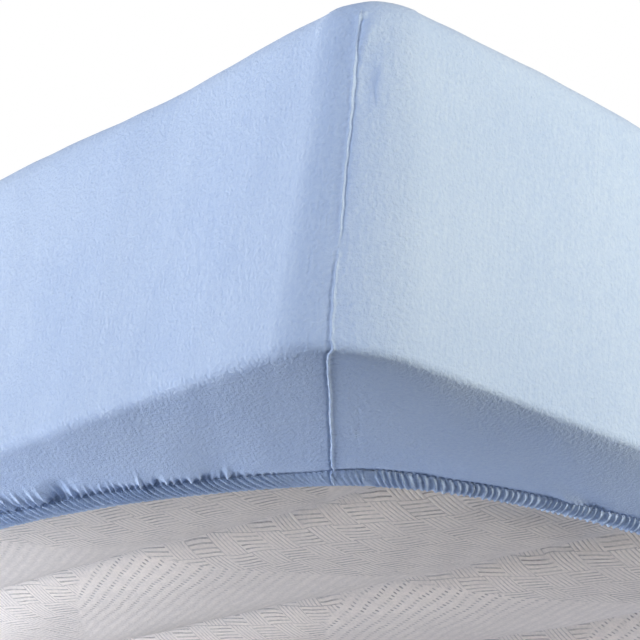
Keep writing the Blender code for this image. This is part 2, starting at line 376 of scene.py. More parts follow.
def plainCloth(way, rows):
    # the cloth without its gathers: the wall to row 4, a straight tuck to row 5, then the casing's ellipse
    x, y, z, _, _ = sideWall(way, rows, 0.0, 0.0)
    inTuck, inCasing = wallParts(rows)[4:]
    angle = casing["startAngle"] + (casing["endAngle"] - casing["startAngle"]) * inCasing
    outward, casingZ = casingSection(angle)
    stitchHeight = casingSection(casing["startAngle"])[1]
    hemX, hemY = hemLineAt(*leanShares(way, rows), outward)
    width = np.hypot(hemX - x, hemY - y)
    fromStitch = (1 - inTuck) * width
    beforeDrop = byKind(way, tuckDrop, "height")
    flat = (bottomEdge["height"] - beforeDrop) * (tuckSlope(inTuck * width, width) - 1)
    drop = np.exp(-((fromStitch / byKind(way, tuckDrop, "reach")) ** tuckDrop["fade"]))
    drop = drop * (beforeDrop - stitchHeight) * smoothStep(0.0, tuckDrop["settled"], inTuck)
    sag = tuckSag(way) * np.sin(np.pi * inTuck / 2) ** 2 * smoothStep(0.0, tuckDrop["sagFree"], fromStitch)
    tuckZ = z + flat - sag - drop
    z = np.where(rows > 5, casingZ, np.where(rows > 4, tuckZ, z))
    x = x + inTuck * (hemX - x)
    y = y + inTuck * (hemY - y)
    return np.stack([x, y, z], axis=-1), fromStitch, width, inCasing


# gathers along the hem, drawn up by the elastic
gather = {
    "pitch": {"end": 0.0053, "long": 0.0037},
    "pitchSpread": 0.22,
    "pitchWaves": (0.31, 0.127, 0.053, 0.023),
    "height": 0.0030,
    "reach": 0.0068,
    "fade": 1.7,
    "blunt": 0.022,  # how soft a crest is
    "crestMiddle": 0.28,
    "pinch": 0.0012,  # how near the stitches the gathers are drawn flatter
    "pinchedRib": 0.8,
    "border": 3.0,
    "seed": 21,
    "heights": (0.62, 1.20),
    "reaches": (0.75, 1.45),
    "shifts": (-0.16, 0.16),
}

# wider folds between the gathers, each some gathers across
wideFold = {
    "gathers": 2.6,
    "wander": (0.35, 0.61),
    "sharpness": 1.6,
    "middle": 0.35,
    "height": 0.0013,
    "reach": 0.013,
    "heights": (-0.2, 1.3),
    "reaches": (0.6, 1.6),
}

# ribs on the casing, where the gathers go on over the elastic
rib = {
    "height": 0.0031,
    "evenShare": 0.4,
    "leanEnd": 1.3,
    "stitchDent": 0.2,
    "fadeAt": 0.68,
    "fade": 6,
    "puffMiddle": 0.66,
    "puffFull": 0.14,
}

# (distance from the seam, strength) of the gathers, on the ends and on the long sides
gatherStrength = {
    "end": ((0.0, 0.04), (0.028, 0.07), (0.036, 0.35), (0.054, 0.45), (0.066, 1.0), (3.0, 1.0)),
    "long": ((0.0, 0.05), (0.040, 0.12), (0.080, 0.20), (0.115, 0.22), (0.135, 0.30), (3.0, 0.36)),
}
ribStrength = {
    "end": ((0.0, 0.10), (0.030, 0.20), (0.040, 0.55), (0.066, 1.0), (3.0, 1.0)),
    "long": (
        (0.0, 0.15), (0.020, 0.30), (0.040, 0.85), (0.090, 0.85), (0.110, 0.55), (0.140, 0.75), (3.0, 0.9),
    ),
}

# how much taller the gathers stand far from the seam
gatherTall = {
    "end": ((0.0, 0.8), (0.15, 1.0), (0.19, 1.5), (0.26, 2.6), (3.0, 2.8)),
    "long": ((0.0, 1.0), (3.0, 1.0)),
}

# how far a rib leans along the hem as it crosses the casing
ribLean = {
    "end": ((0.0, 0.0065), (3.0, 0.0065)),
    "long": ((0.0, 0.0080), (0.080, 0.0080), (0.130, 0.0040), (3.0, 0.0040)),
}

# long soft folds that run up from the hem: (distance from the seam, depth, half width, reach, lean)
longFolds = {
    "end": (
        (0.082, -0.0012, 0.0034, 0.014, 0.3),
        (0.091, 0.0010, 0.0040, 0.016, 0.3),
        (0.118, -0.0012, 0.0034, 0.016, 0.3),
        (0.128, 0.0009, 0.0044, 0.018, 0.3),
        (0.196, -0.0024, 0.0070, 0.040, 0.35),
        (0.212, 0.0020, 0.0075, 0.042, 0.35),
        (0.262, -0.0014, 0.0090, 0.042, 0.3),
        (0.330, 0.0014, 0.0090, 0.042, 0.3),
    ),
    "long": (
        (0.052, -0.0006, 0.0060, 0.022, 0.2),
        (0.138, 0.0014, 0.0065, 0.022, 0.1),
        (0.152, -0.0015, 0.0065, 0.024, 0.1),
        (0.215, 0.0012, 0.0080, 0.032, 0.2),
    ),
}

rng = np.random.default_rng(gather["seed"])
pitchWaves = [(length, 1.0, rng.uniform(0, 6.28)) for length in gather["pitchWaves"]]
pitchSwing = 1 + gather["pitchSpread"] * wavesRound(hemTable, hemLength, pitchWaves) / 2
pitchTable = byKind(wayTable, gather["pitch"]) * pitchSwing
meanPitch = 0.5 * (pitchTable[1:] + pitchTable[:-1])
phaseTable = runningSum(np.diff(hemTable) / meanPitch)
phaseTable = phaseTable * round(phaseTable[-1]) / phaseTable[-1]
gatherCount = int(round(phaseTable[-1]))
gatherHeights = rng.uniform(*gather["heights"], gatherCount)
gatherReaches = rng.uniform(*gather["reaches"], gatherCount)
gatherShifts = rng.uniform(*gather["shifts"], gatherCount)
wideHeights = rng.uniform(*wideFold["heights"], gatherCount)
wideReaches = rng.uniform(*wideFold["reaches"], gatherCount)


def perGather(values, phase):
    # each gather's own value, blended smoothly to the next one's
    low = np.floor(phase).astype(int)
    t = smoothStep(0.0, 1.0, phase - low)
    return values[low % len(values)] * (1 - t) + values[(low + 1) % len(values)] * t


def bySeam(gap, onLong, table):
    # a value by distance from the seam, read off the straight lines between its listed points
    return np.where(onLong, np.interp(gap, *zip(*table["long"])), np.interp(gap, *zip(*table["end"])))


def gatherPhase(way, rows, inCasing, gap, onLong):
    # counts the gathers along the hem, less the ribs' lean across the casing and with each one's own shift
    phase = np.interp(np.mod(way, sidesRound), wayTable, phaseTable) + 0 * rows
    across = np.minimum(inCasing * casing["length"] / casing["shown"], rib["leanEnd"])
    phase = phase - bySeam(gap, onLong, ribLean) * across / byKind(way, gather["pitch"])
    return phase + perGather(gatherShifts, phase)


def wideFoldsAt(phase, strength, tall, fromStitch):
    # a raised cosine to a power, with each fold's own height, fading as a bell over its own reach
    swing, turns = wideFold["wander"]
    place = phase / wideFold["gathers"] + swing * np.sin(phase * turns)
    wide = (0.5 + 0.5 * np.cos(2 * np.pi * place)) ** wideFold["sharpness"] - wideFold["middle"]
    reach = wideFold["reach"] * tall * perGather(wideReaches, place)
    height = wideFold["height"] * perGather(wideHeights, place) * strength
    return wide * height * bell(fromStitch, reach)


def relief(way, rows, fromStitch, width, inCasing):
    # how far the cloth stands out of its plain shape: crest = 1 - sqrt(sin^2 + blunt), lower up the tuck
    gap, onLong = seamDistance(way)
    phase = gatherPhase(way, rows, inCasing, gap, onLong)
    size = perGather(gatherHeights, phase)
    strength = bySeam(gap, onLong, gatherStrength)
    tall = bySeam(gap, onLong, gatherTall)
    crest = 1 - np.sqrt(np.sin(np.pi * phase) ** 2 + gather["blunt"]) - gather["crestMiddle"]
    reach = gather["reach"] * tall * perGather(gatherReaches, phase)
    onTuck = gather["height"] * size * strength * np.exp(-((fromStitch / reach) ** gather["fade"]))
    sized = rib["evenShare"] + (1 - rib["evenShare"]) * size
    onCasing = rib["height"] * sized * bySeam(gap, onLong, ribStrength)
    nearStitch = bell(fromStitch, gather["pinch"])
    fine = (onTuck + (gather["pinchedRib"] * onCasing - onTuck) * nearStitch) * crest
    wide = wideFoldsAt(phase, strength, tall, fromStitch) + longFoldsAt(gap, onLong, fromStitch)
    window = smoothStep(0.0, 1.0, (1 - fromStitch / borderReach(width)) * gather["border"])
    tucked = (fine + wide * (1 - nearStitch)) * window * (rows > 4)
    # on the ends' casing the ribs swell into rounded puffs with sharp creases between: sqrt(cos^2 + blunt)
    puffed = np.sqrt(np.cos(np.pi * phase) ** 2 + gather["blunt"]) - rib["puffMiddle"]
    puffShare = (1 - longShareAt(way)) * smoothStep(0.0, rib["puffFull"], inCasing)
    dented = 1 - rib["stitchDent"] * bell(inCasing * casing["length"], gather["pinch"])
    ribs = (crest + puffShare * (puffed - crest)) * onCasing * dented
    ribs = ribs * np.exp(-((inCasing / rib["fadeAt"]) ** rib["fade"]))
    return np.where(rows > 5, ribs, tucked)


def longFoldsAt(gap, onLong, fromStitch):
    # each long fold is a bell across, whose middle leans as it runs up, and fades over its reach
    total = 0.0
    for kind, wanted in (("end", False), ("long", True)):
        for place, depth, halfWidth, reach, lean in longFolds[kind]:
            middle = place - lean * fromStitch
            across = (gap - middle) / (halfWidth * (1 + fromStitch / reach))
            fold = depth * bell(across, 1) * np.exp(-((fromStitch / reach) ** 2.2))
            total = total + np.where(onLong == wanted, fold, 0.0)
    return total


def borderReach(width):
    # how far above the stitch line the hem pieces reach into the tuck
    return np.minimum(hemReach["most"], hemReach["share"] * width)


hemReach = {"most": 0.040, "share": 0.88}

# soft unevenness of the stretched wall and top: (wavelength, depth, phase) of long waves and of finer ones
unevenness = {
    "slow": ((0.37, 0.00050, 0.3), (0.21, 0.00035, 1.9), (0.118, 0.00022, 4.1)),
    "fine": ((0.061, 0.00010, 2.7), (0.034, 0.00006, 0.8)),
    "drift": 0.035,
    "onTop": 1.6,
    "topReach": 0.30,
}


def sideRelief(way, rows):
    # the waves round the wall, and the finer ones again as pulls in from the top edge, fading as a bell
    inTop, inEdge, inSide, _, inTuck, _ = wallParts(rows)
    distance = sideDistance(way)
    drift = unevenness["drift"] * np.sin(2.2 * inSide + 3.0 * distance)
    slow = wavesRound(distance, sideLengthRound, unevenness["slow"])
    fine = wavesRound(distance + drift, sideLengthRound, unevenness["fine"])
    pull = inTop * (1 - inEdge) * bell(1 - inTop, unevenness["topReach"])
    return (slow + fine) * inEdge * (1 - inTuck) + fine * unevenness["onTop"] * pull


# how far off the plain cloth is measured on either side of a place to find its normal there
normalSteps = {"way": 2e-5, "row": 4e-4}


def clothSurface(way, rows, raised=0.0):
    # the plain shape plus its relief along its normal, the cross product of its differences either way
    stepWay, stepRow = normalSteps["way"], normalSteps["row"]
    here, fromStitch, width, inCasing = plainCloth(way, rows)
    backRows = np.where(rows > 5, np.maximum(rows - stepRow, 5 + 1e-6), rows - stepRow)
    backRows = np.maximum(backRows, 0.0)
    alongWay = plainCloth(way + stepWay, rows)[0] - plainCloth(way - stepWay, rows)[0]
    alongRow = plainCloth(way, rows + stepRow)[0] - plainCloth(way, backRows)[0]
    rise = relief(way, rows, fromStitch, width, inCasing) + sideRelief(way, rows) + raised
    return here + unitVectors(np.cross(alongRow, alongWay)) * rise[..., None]


def gridNormals(points):
    # the cross product of a grid's own central differences
    downRows = points[2:, 1:-1] - points[:-2, 1:-1]
    alongWay = points[1:-1, 2:] - points[1:-1, :-2]
    return unitVectors(np.cross(downRows, alongWay))


def quadsOf(rowCount, columnCount, closed):
    # each grid cell as four vertex numbers, turned to face outwards
    columns = columnCount if closed else columnCount - 1
    row, column = np.meshgrid(np.arange(rowCount - 1), np.arange(columns), indexing="ij")
    after = (column + 1) % columnCount
    upper, lower = row * columnCount, (row + 1) * columnCount
    return np.stack([upper + column, lower + column, lower + after, upper + after], axis=-1).reshape(-1, 4)


def meshFrom(name, vertices, *faceSets):
    # a mesh from one array of vertices and arrays of faces, each with its own number of sides
    around = np.concatenate([faces.ravel() for faces in faceSets]).astype(np.int32)
    sides = np.concatenate([np.full(len(faces), faces.shape[1]) for faces in faceSets])
    mesh = bpy.data.meshes.new(name)
    mesh.vertices.add(len(vertices))
    mesh.vertices.foreach_set("co", np.ascontiguousarray(vertices, np.float32).ravel())
    mesh.loops.add(len(around))
    mesh.loops.foreach_set("vertex_index", around)
    mesh.polygons.add(len(sides))
    mesh.polygons.foreach_set("loop_start", (np.cumsum(sides) - sides).astype(np.int32))
    mesh.update(calc_edges=True)
    mesh.shade_smooth()
    return mesh


def addPiece(name, mesh, finish):
    mesh.materials.append(finish)
    piece = bpy.data.objects.new(name, mesh)
    bpy.context.scene.collection.objects.link(piece)
    return piece


def addFinePiece(name, points, finish):
    # a piece from a grid of points, less the outermost, which only shape the normals at its rim
    inner = points[1:-1, 1:-1]
    mesh = meshFrom(name, inner.reshape(-1, 3), quadsOf(inner.shape[0], inner.shape[1], False))
    mesh.normals_split_custom_set_from_vertices(gridNormals(points).reshape(-1, 3))
    return addPiece(name, mesh, finish)


def toLinear(hexColour):
    # an sRGB hex colour as linear red, green, blue and 1
    channels = [int(hexColour[i:i + 2], 16) / 255 for i in (1, 3, 5)]
    return tuple(c / 12.92 if c <= 0.04045 else ((c + 0.055) / 1.055) ** 2.4 for c in channels) + (1.0,)


def startMaterial(name):
    made = bpy.data.materials.new(name)
    made.use_nodes = True
    return made, made.node_tree.nodes["Principled BSDF"]


def connect(material, node, links):
    # links maps an input's name or number to a socket or a fixed value
    for key, value in links.items():
        if isinstance(value, bpy.types.NodeSocket):
            material.node_tree.links.new(value, node.inputs[key])
        else:
            node.inputs[key].default_value = value


def addNode(material, kind, settings=None, links=None):
    node = material.node_tree.nodes.new(kind)
    for key, value in (settings or {}).items():
        setattr(node, key, value)
    connect(material, node, links or {})
    return node


def plainFinish(name, hexColour, roughness):
    made, shader = startMaterial(name)
    connect(made, shader, {"Base Color": toLinear(hexColour), "Roughness": roughness})
    return made


# light blue cotton jersey, knitted fine, stretched and brushed: matt, with a soft bloom at grazing angles
jersey = {
    "light": "#BECEE4",
    "deep": "#A9BDDC",
    "streakWidth": 0.9 * millimetre,
    "streakLength": 7.0 * millimetre,
    "pillSize": 1.0 * millimetre,  # the knit's own 0.8 mm loops, drawn as coarse as they need to show
    "blotch": 45 * millimetre,
    "roughness": 0.92,
    "sheen": 0.12,
    "sheenRoughness": 0.5,
    "gloss": 0.25,
    "streakTone": 0.45,
    "blotchTone": 0.5,
    "toneFrom": 0.66,
    "toneTo": 1.30,
    "streakNap": 0.25,
    "napStrength": 0.9,
    "napDepth": 1.1 * millimetre,
}


def brushedJersey():
    made, shader = startMaterial("brushed cotton jersey")
    place = addNode(made, "ShaderNodeTexCoord").outputs["Object"]
    streakSpace = addNode(made, "ShaderNodeMapping", {"vector_type": "POINT"}, {
        "Vector": place,
        "Scale": (1 / jersey["streakWidth"], 1 / jersey["streakWidth"], 1 / jersey["streakLength"]),
    })
    streaks = addNode(made, "ShaderNodeTexNoise", None, {
        "Vector": streakSpace.outputs[0], "Scale": 0.5, "Detail": 2.0, "Roughness": 0.6,
    })
    fuzz = addNode(made, "ShaderNodeTexNoise", None, {
        "Vector": place, "Scale": 0.5 / jersey["pillSize"], "Detail": 3.0, "Roughness": 0.65,
    })
    blotches = addNode(made, "ShaderNodeTexNoise", None, {
        "Vector": place, "Scale": 0.5 / jersey["blotch"], "Detail": 2.0,
    })
    grain = addNode(made, "ShaderNodeMath", {"operation": "MULTIPLY_ADD"}, {
        0: streaks.outputs["Fac"], 1: jersey["streakTone"], 2: fuzz.outputs["Fac"],
    })
    tone = addNode(made, "ShaderNodeMath", {"operation": "MULTIPLY_ADD"}, {
        0: blotches.outputs["Fac"], 1: jersey["blotchTone"], 2: grain.outputs[0],
    })
    spread = addNode(made, "ShaderNodeMapRange", None, {
        "Value": tone.outputs[0], "From Min": jersey["toneFrom"], "From Max": jersey["toneTo"],
    })
    colour = addNode(made, "ShaderNodeMix", {"data_type": "RGBA"}, {
        "Factor": spread.outputs[0], 6: toLinear(jersey["deep"]), 7: toLinear(jersey["light"]),
    })
    nap = addNode(made, "ShaderNodeMath", {"operation": "MULTIPLY_ADD"}, {
        0: streaks.outputs["Fac"], 1: jersey["streakNap"], 2: fuzz.outputs["Fac"],
    })
    bump = addNode(made, "ShaderNodeBump", None, {
        "Height": nap.outputs[0], "Strength": jersey["napStrength"], "Distance": jersey["napDepth"],
    })
    connect(made, shader, {
        "Base Color": colour.outputs[2],
        "Normal": bump.outputs[0],
        "Roughness": jersey["roughness"],
        "Sheen Weight": jersey["sheen"],
        "Sheen Roughness": jersey["sheenRoughness"],
        "Specular IOR Level": jersey["gloss"],
    })
    return made


jerseyCloth = brushedJersey()

# the sheet's main piece: top, sides, bottom edges and most of the tuck
sheetGrid = {
    "cornerColumns": 44,
    "endColumns": 150,
    "longColumns": 300,
    "topRows": 13,
    "edgeRows": 7,
    "sideRows": 26,
    "bottomRows": 8,
    "tuckRows": 22,
    "mergeWithin": 2e-5,
}


def mainColumns():
    # even steps over each corner and each side, the same all round
    ways = []
    for corner in range(4):
        sideColumns = sheetGrid["longColumns"] if corner % 2 == 0 else sheetGrid["endColumns"]
        ways.append(2 * corner + np.arange(sheetGrid["cornerColumns"]) / sheetGrid["cornerColumns"])
        ways.append(2 * corner + 1 + np.arange(sideColumns) / sideColumns)
    return np.concatenate(ways)


def mainRows():
    # rows of the wall, closer together towards the top edge
    across = 1 - (1 - np.arange(sheetGrid["topRows"]) / sheetGrid["topRows"]) ** 1.6
    return np.concatenate([
        across,
        1 + np.arange(sheetGrid["edgeRows"]) / sheetGrid["edgeRows"],
        2 + np.arange(sheetGrid["sideRows"]) / sheetGrid["sideRows"],
        3 + np.arange(sheetGrid["bottomRows"] + 1) / sheetGrid["bottomRows"],
    ])


def tuckBorder(way):
    # the row, between 4 and 5, where the main piece ends and a hem piece begins
    _, _, width, _ = plainCloth(way, np.full_like(way, 4.0))
    return 5 - borderReach(width) / width


# beside each corner seam the sheet's pieces sink, and a finer strip of the same cloth lies over them
seamStrip = {
    "halfWidth": 0.0165,
    "sinkFrom": 0.0125,
    "sinkFull": 0.0090,
    "sinkDepth": 0.0026,
    "firstRow": 1.70,
    "lastRow": 5.60,
    "step": 0.00115,
    "columnCount": 45,
    "ridgeHeight": 0.00085,
    "ridgeWidth": 0.00062,
    "grooveDepth": 0.00060,
    "grooveWidth": 0.00070,
    "grooveOff": 0.00135,
    "puckerHeight": 0.00022,
    "puckerPitch": 0.0058,
    "evenSpread": 0.45,  # 1 would set the columns evenly
    "probeReach": 0.499,
    "probeCount": 801,
    "reliefFade": {"top": 0.005, "end": 0.004, "side": 0.7},
    "edgeFade": {"top": 0.004, "end": 0.002, "side": 0.0022},
    "lift": 0.00004,
    "edgeSink": 0.00030,
}


def acrossRows(points):
    # distance along each row of a grid from its first column
    steps = np.linalg.norm(np.diff(points, axis=1), axis=-1)
    return np.concatenate([np.zeros((len(points), 1)), np.cumsum(steps, axis=1)], axis=1)


def sunkBySeam(away, rows):
    # the sink under a strip: full near the seam and at the rows the strip covers
    near = 1 - smoothStep(seamStrip["sinkFull"], seamStrip["sinkFrom"], away)
    covered = smoothStep(seamStrip["firstRow"] + 0.10, seamStrip["firstRow"] + 0.35, rows)
    covered = covered * (1 - smoothStep(seamStrip["lastRow"] - 0.25, seamStrip["lastRow"] - 0.08, rows))
    return -seamStrip["sinkDepth"] * near * covered


def makeSheet():
    ways = mainColumns()
    border = tuckBorder(ways)
    rows = np.repeat(mainRows()[:, None], len(ways), axis=1)
    steps = np.arange(1, sheetGrid["tuckRows"] + 1)[:, None] / sheetGrid["tuckRows"]
    rows = np.vstack([rows, 4 + steps * (border - 4)])
    ways = ways[None, :] + 0 * rows
    gone = acrossRows(plainCloth(ways, rows)[0])
    seamColumns = np.searchsorted(ways[0], cornerSeams)
    away = np.abs(gone[:, None, :] - gone[:, seamColumns, None]).min(axis=1)
    points = clothSurface(ways, rows, sunkBySeam(away, rows))
    flat = points.reshape(-1, 3)
    flat[:rows.shape[1], 0] = 0.0  # the innermost row is the top's middle line, where its two sides meet
    cells = np.round(flat / sheetGrid["mergeWithin"]).astype(np.int64)
    _, kept, merged = np.unique(cells, axis=0, return_index=True, return_inverse=True)
    faces = merged.reshape(-1)[quadsOf(rows.shape[0], rows.shape[1], True)]
    # where two of a face's corners have merged, at the ends of the middle line, it is a triangle
    same = faces == np.roll(faces, -1, axis=1)
    pinched = same.sum(axis=1) == 1
    triangles = np.concatenate([np.delete(faces[pinched & same[:, k]], k, axis=1) for k in range(4)])
    mesh = meshFrom("fitted_sheet_cloth", flat[kept], faces[~same.any(axis=1)], triangles)
    mesh.validate()
    return addPiece("fitted_sheet_cloth", mesh, jerseyCloth)


sheet = makeSheet()
say("sheet: " + str(len(sheet.data.polygons)) + " faces")

# the hem pieces, one a side, each from one corner seam to the next
hemGrid = {
    "tuckRows": 24,
    "casingRows": 15,
    "nearStep": 0.00050,
    "farStep": 0.00090,
    "nearReach": (0.34, 0.54),
}
hemNames = ("hem_right", "hem_head", "hem_left", "hem_foot")


def hemColumns(startWay):
    # columns at fine steps near the foot corner on the +X side, and wider ones further off
    first = hemDistance(startWay)
    last = hemDistance(startWay + 2)
    last = last if last > first else last + hemLength
    distance = np.linspace(first, last, 4001)
    farShare = smoothStep(*hemGrid["nearReach"], shortWay(distance - hemDistance(cornerSeams[0])))
    step = hemGrid["nearStep"] + farShare * (hemGrid["farStep"] - hemGrid["nearStep"])
    counted = runningSum(np.diff(distance) / step[1:])
    count = int(math.ceil(counted[-1]))
    places = np.interp(np.linspace(0, counted[-1], count + 1), counted, distance)
    wrapped = np.interp(np.mod(places, hemLength), hemTable, wayTable)
    wrapped = np.where(wrapped < startWay - 1e-6, wrapped + sidesRound, wrapped)
    wrapped[0], wrapped[-1] = startWay, startWay + 2
    return wrapped


def makeHem(name, startWay):
    ways = hemColumns(startWay)
    ways = np.concatenate([[2 * ways[0] - ways[1]], ways, [2 * ways[-1] - ways[-2]]])
    border = tuckBorder(ways)
    steps = np.linspace(0.0, 1.0, hemGrid["tuckRows"])[:, None] ** 0.8
    inTuck = border + steps * (5 - border)
    casingSteps = np.arange(1, hemGrid["casingRows"] + 1) / hemGrid["casingRows"]
    inCasing = np.repeat((5 + casingSteps)[:, None], len(ways), axis=1)
    before = inTuck[:1] - (inTuck[1:2] - inTuck[:1])
    after = inCasing[-1:] + 1e-3
    rows = np.vstack([before, inTuck, inCasing, after])
    ways = ways[None, :] + 0 * rows
    gone = acrossRows(plainCloth(ways, rows)[0])
    away = np.minimum(np.abs(gone - gone[:, 1:2]), np.abs(gone[:, -2:-1] - gone))
    return addFinePiece(name, clothSurface(ways, rows, sunkBySeam(away, rows)), jerseyCloth)


hems = [makeHem(name, startWay) for name, startWay in zip(hemNames, cornerSeams)]
say("hem: " + str(sum(len(h.data.polygons) for h in hems)) + " faces")

# soft shapes beside each seam's top: (across, down from its start, height, half width, half length, lean)
seamPuffs = (
    (0.0014, 0.0052, 0.0016, 0.0019, 0.0030, -0.45),
    (0.0056, 0.0165, 0.0019, 0.0042, 0.0088, -0.28),
    (0.0072, 0.0420, -0.0016, 0.0052, 0.0130, 0.0),
    (-0.0052, 0.0260, -0.0006, 0.0040, 0.0160, 0.0),
    (0.0050, 0.0800, 0.0005, 0.0050, 0.0220, 0.0),
)


# how the seam wavers, its ridge's stitch marks, and how its puckers swing and lean
seamWaver = {
    "changeRow": 2.72,  # where the groove changes sides
    "changeSpan": 0.10,
    "fineDepth": 0.00018,
    "fineLength": 0.0021,
    "longDepth": 0.00025,
    "longLength": 0.0093,
    "longPhase": 1.1,
    "markShare": 0.15,
    "markLength": 0.00105,
    "puckerSwing": 1.7,
    "swingLength": 0.017,
    "puckerLean": 220,
    "puckerReach": 0.0042,
    "puckerShare": 0.4,
    "shareLength": 0.023,
}


def seamRelief(across, down, rows):
    # ridge - groove + pucker, each a bell across a wavering line, plus the soft shapes by the seam's top
    side = -np.tanh((rows - seamWaver["changeRow"]) / seamWaver["changeSpan"])
    wobble = seamWaver["fineDepth"] * np.sin(down / seamWaver["fineLength"])
    wobble = wobble + seamWaver["longDepth"] * np.sin(down / seamWaver["longLength"] + seamWaver["longPhase"])
    off = across - wobble
    marks = 1 + seamWaver["markShare"] * (np.sin(down / seamWaver["markLength"]) - 1)
    ridge = seamStrip["ridgeHeight"] * marks * bell(off, seamStrip["ridgeWidth"])
    groove = seamStrip["grooveDepth"] * bell(off - side * seamStrip["grooveOff"], seamStrip["grooveWidth"])
    phase = 2 * np.pi * down / seamStrip["puckerPitch"] + seamWaver["puckerLean"] * off
    phase = phase + seamWaver["puckerSwing"] * np.sin(down / seamWaver["swingLength"])
    uneven = 1 + seamWaver["puckerShare"] * (np.sin(down / seamWaver["shareLength"]) - 1)
    pucker = seamStrip["puckerHeight"] * uneven * np.sin(phase) * bell(off, seamWaver["puckerReach"])
    total = ridge - groove + pucker
    for place, start, height, halfWidth, halfLength, lean in seamPuffs:
        sideways = (across - place - lean * (down - start)) / halfWidth
        total = total + height * np.exp(-(sideways**2) - ((down - start) / halfLength) ** 2)
    return total


def makeSeamStrip(name, seamWay):
    # even rows down the seam, then columns at even distances to either side of it
    fineRows = np.linspace(seamStrip["firstRow"], seamStrip["lastRow"], 6000)
    seamLine = plainCloth(np.full_like(fineRows, seamWay), fineRows)[0]
    downLine = runningSum(np.linalg.norm(np.diff(seamLine, axis=0), axis=-1))
    down = np.linspace(0.0, downLine[-1], int(downLine[-1] / seamStrip["step"]))
    rowPlaces = np.interp(down, downLine, fineRows)
    spread = np.linspace(-1, 1, seamStrip["columnCount"] + 2)
    spread = spread * (seamStrip["evenSpread"] + (1 - seamStrip["evenSpread"]) * np.abs(spread))
    across = spread * seamStrip["halfWidth"] / spread[-2]
    probe = seamWay + seamStrip["probeReach"] * np.linspace(-1, 1, seamStrip["probeCount"])
    probeRows = np.repeat(rowPlaces[:, None], len(probe), axis=1)
    gone = acrossRows(plainCloth(probe[None, :] + 0 * probeRows, probeRows)[0])
    gone = gone - gone[:, [seamStrip["probeCount"] // 2]]
    ways = np.array([np.interp(across, rowGone, probe) for rowGone in gone])
    rows = np.repeat(rowPlaces[:, None], len(across), axis=1)
    towards = 1.0 if seamWay % 4 == 0.5 else -1.0  # the other pair of corners is this pair mirrored
    across, down = np.meshgrid(across * towards, down)
    left, beside = down.max() - down, np.abs(across)
    fade, halfWidth = seamStrip["reliefFade"], seamStrip["halfWidth"]
    ease = smoothStep(0.0, fade["top"], down) * smoothStep(0.0, fade["end"], left)
    ease = ease * smoothStep(halfWidth, fade["side"] * halfWidth, beside)
    fade = seamStrip["edgeFade"]
    edge = np.minimum(smoothStep(0.0, fade["top"], down), smoothStep(0.0, fade["side"], halfWidth - beside))
    edge = np.minimum(edge, smoothStep(0.0, fade["end"], left))
    raised = seamStrip["lift"] * edge - seamStrip["edgeSink"] * (1 - edge)
    raised = raised + seamRelief(across, down, rows) * ease
    return addFinePiece(name, clothSurface(ways, rows, raised), jerseyCloth)


seamNames = ("seam_foot_right", "seam_head_right", "seam_head_left", "seam_foot_left")
seams = [makeSeamStrip(name, seamWay) for name, seamWay in zip(seamNames, cornerSeams)]
say("seams: " + str(sum(len(h.data.polygons) for h in seams)) + " faces")

# the hem's sewing thread: polyester, a shade lighter than the cloth
stitching = {
    "colour": "#C9D9F3",
    "spacing": 0.0036,
    "length": 0.0024,
    "radius": 0.00042,
    "lift": {"end": -0.00006, "long": 0.00042},
    "slant": 0.0005,
    "row": 5.045,
    "downStep": 0.02,
    "rings": ((-0.5, 0.35), (-0.30, 0.9), (0.0, 1.0), (0.30, 0.9), (0.5, 0.35)),  # place, thickness
    "roughness": 0.6,
}


def makeStitches():
    # one small four-sided dash for every stitch, along the line where the casing is sewn
    count = int(hemLength / stitching["spacing"])
    middles = (np.arange(count) + 0.5) * hemLength / count
    along, thick = np.array(stitching["rings"]).T * [[stitching["length"]], [stitching["radius"]]]
    places = np.mod(middles[:, None] + along[None, :], hemLength)
    ways = np.interp(places, hemTable, wayTable)
    slant = stitching["slant"] * along / stitching["length"] / casing["length"]
    rows = stitching["row"] + slant[None, :] + 0 * ways
    centre = clothSurface(ways, rows)
    downwards = clothSurface(ways, rows + stitching["downStep"]) - centre
    tangent = np.broadcast_to((centre[:, -1:] - centre[:, :1]), centre.shape)
    out = unitVectors(np.cross(downwards, tangent))
    side = unitVectors(np.cross(tangent, out))
    crown = 1 - (along / stitching["length"] * 2) ** 2
    centre = centre + out * (byKind(ways, stitching["lift"]) * crown[None, :])[..., None]
    angles = np.arange(4)[:, None] * np.pi / 2
    spokes = np.cos(angles) * out[:, :, None] + np.sin(angles) * side[:, :, None]
    rings = centre[:, :, None] + thick[None, :, None, None] * spokes
    ring, corner = np.meshgrid(np.arange(4), np.arange(4), indexing="ij")
    here, after = ring * 4 + corner, ring * 4 + (corner + 1) % 4
    tube = np.stack([here, after, after + 4, here + 4], axis=-1)
    caps = np.array([(3, 2, 1, 0), (16, 17, 18, 19)])
    one = np.concatenate([tube.reshape(-1, 4), caps])
    faces = (one[None] + 20 * np.arange(count)[:, None, None]).reshape(-1, 4)
    thread = plainFinish("spun polyester sewing thread", stitching["colour"], stitching["roughness"])
    return addPiece("hem_stitches", meshFrom("hem_stitches", rings.reshape(-1, 3), faces), thread)


stitches = makeStitches()
say("stitches: " + str(len(stitches.data.polygons)) + " faces")

